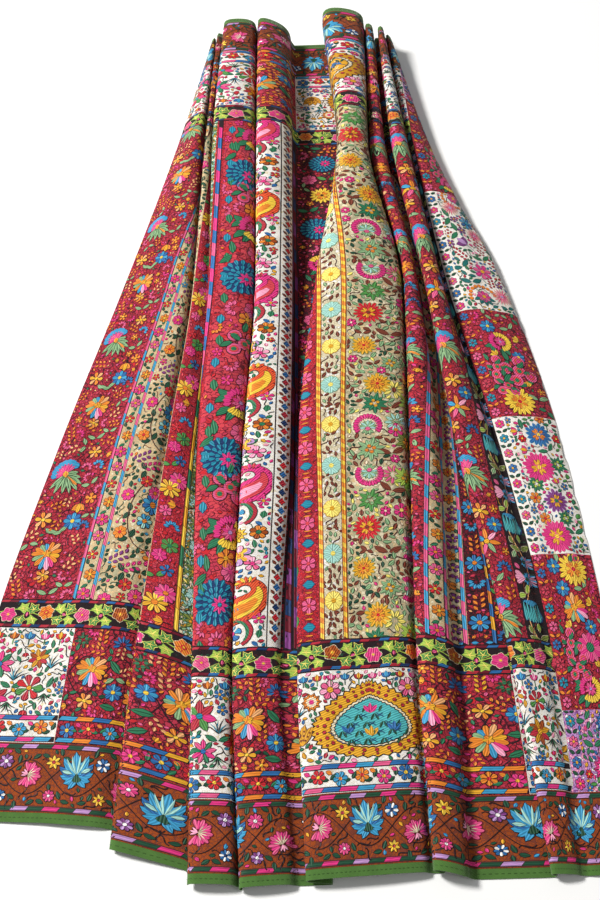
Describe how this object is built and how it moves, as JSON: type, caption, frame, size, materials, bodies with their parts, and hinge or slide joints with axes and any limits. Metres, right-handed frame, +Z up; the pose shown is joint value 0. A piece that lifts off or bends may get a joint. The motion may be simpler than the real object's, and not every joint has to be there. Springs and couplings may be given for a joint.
{
  "type": "embroidered wool shawl laid flat",
  "caption": "Striped and embroidered wool shawl laid on a flat surface, gathered into rolled pleats at its far end and fanned out at its near end.",
  "frame": {"origin": "bottom centre of the laid shawl's bounding box, on the surface that it lies on", "axes": "+Z up, +Y from the fanned near hem to the gathered far end, +X to the right seen from the near hem"},
  "size_m": [1.1278, 2.0162, 0.0979],
  "materials": {
    "field_cloth_cloth": "wool twill closely worked with silk embroidery in lengthwise stripes",
    "lotus_stripe_cloth": "black wool stripe with embroidered lotus flowers",
    "near_vine_band_cloth": "black wool band with an embroidered ivy vine",
    "far_vine_band_cloth": "black wool band with an embroidered ivy vine",
    "near_rust_border_cloth": "rust-orange wool border with embroidered lotus fans",
    "far_rust_border_cloth": "rust-orange wool border with embroidered lotus fans",
    "near_green_edging_cloth": "plain green wool binding",
    "far_green_edging_cloth": "plain green wool binding",
    "near_block_1_cloth": "white wool patch closely worked with silk embroidery",
    "near_block_2_cloth": "crimson wool patch closely worked with silk embroidery",
    "near_block_3_cloth": "white wool patch closely worked with silk embroidery",
    "near_block_4_cloth": "crimson wool patch closely worked with silk embroidery",
    "near_block_5_cloth": "white wool patch closely worked with silk embroidery",
    "near_block_6_cloth": "crimson wool patch closely worked with silk embroidery",
    "near_block_7_cloth": "white wool patch closely worked with silk embroidery",
    "far_block_1_cloth": "white wool patch closely worked with silk embroidery",
    "far_block_2_cloth": "crimson wool patch closely worked with silk embroidery",
    "far_block_3_cloth": "white wool patch closely worked with silk embroidery",
    "far_block_4_cloth": "crimson wool patch closely worked with silk embroidery",
    "far_block_5_cloth": "white wool patch closely worked with silk embroidery",
    "far_block_6_cloth": "crimson wool patch closely worked with silk embroidery",
    "far_block_7_cloth": "white wool patch closely worked with silk embroidery",
    "side_block_1_cloth": "lavender wool patch closely worked with silk embroidery",
    "side_block_2_cloth": "crimson wool patch closely worked with silk embroidery",
    "side_block_3_cloth": "white wool patch closely worked with silk embroidery",
    "side_block_4_cloth": "crimson wool patch closely worked with silk embroidery",
    "side_block_5_cloth": "white wool patch closely worked with silk embroidery",
    "side_block_6_cloth": "crimson wool patch closely worked with silk embroidery",
    "side_block_7_cloth": "lavender wool patch closely worked with silk embroidery"
  },
  "bodies": {
    "root": {"field_cloth": "field_cloth_cloth", "lotus_stripe": "lotus_stripe_cloth", "near_vine_band": "near_vine_band_cloth", "far_vine_band": "far_vine_band_cloth", "near_rust_border": "near_rust_border_cloth", "far_rust_border": "far_rust_border_cloth", "near_green_edging": "near_green_edging_cloth", "far_green_edging": "far_green_edging_cloth", "near_block_1": "near_block_1_cloth", "near_block_2": "near_block_2_cloth", "near_block_3": "near_block_3_cloth", "near_block_4": "near_block_4_cloth", "near_block_5": "near_block_5_cloth", "near_block_6": "near_block_6_cloth", "near_block_7": "near_block_7_cloth", "far_block_1": "far_block_1_cloth", "far_block_2": "far_block_2_cloth", "far_block_3": "far_block_3_cloth", "far_block_4": "far_block_4_cloth", "far_block_5": "far_block_5_cloth", "far_block_6": "far_block_6_cloth", "far_block_7": "far_block_7_cloth", "side_block_1": "side_block_1_cloth", "side_block_2": "side_block_2_cloth", "side_block_3": "side_block_3_cloth", "side_block_4": "side_block_4_cloth", "side_block_5": "side_block_5_cloth", "side_block_6": "side_block_6_cloth", "side_block_7": "side_block_7_cloth"}
  },
  "joints": []
}
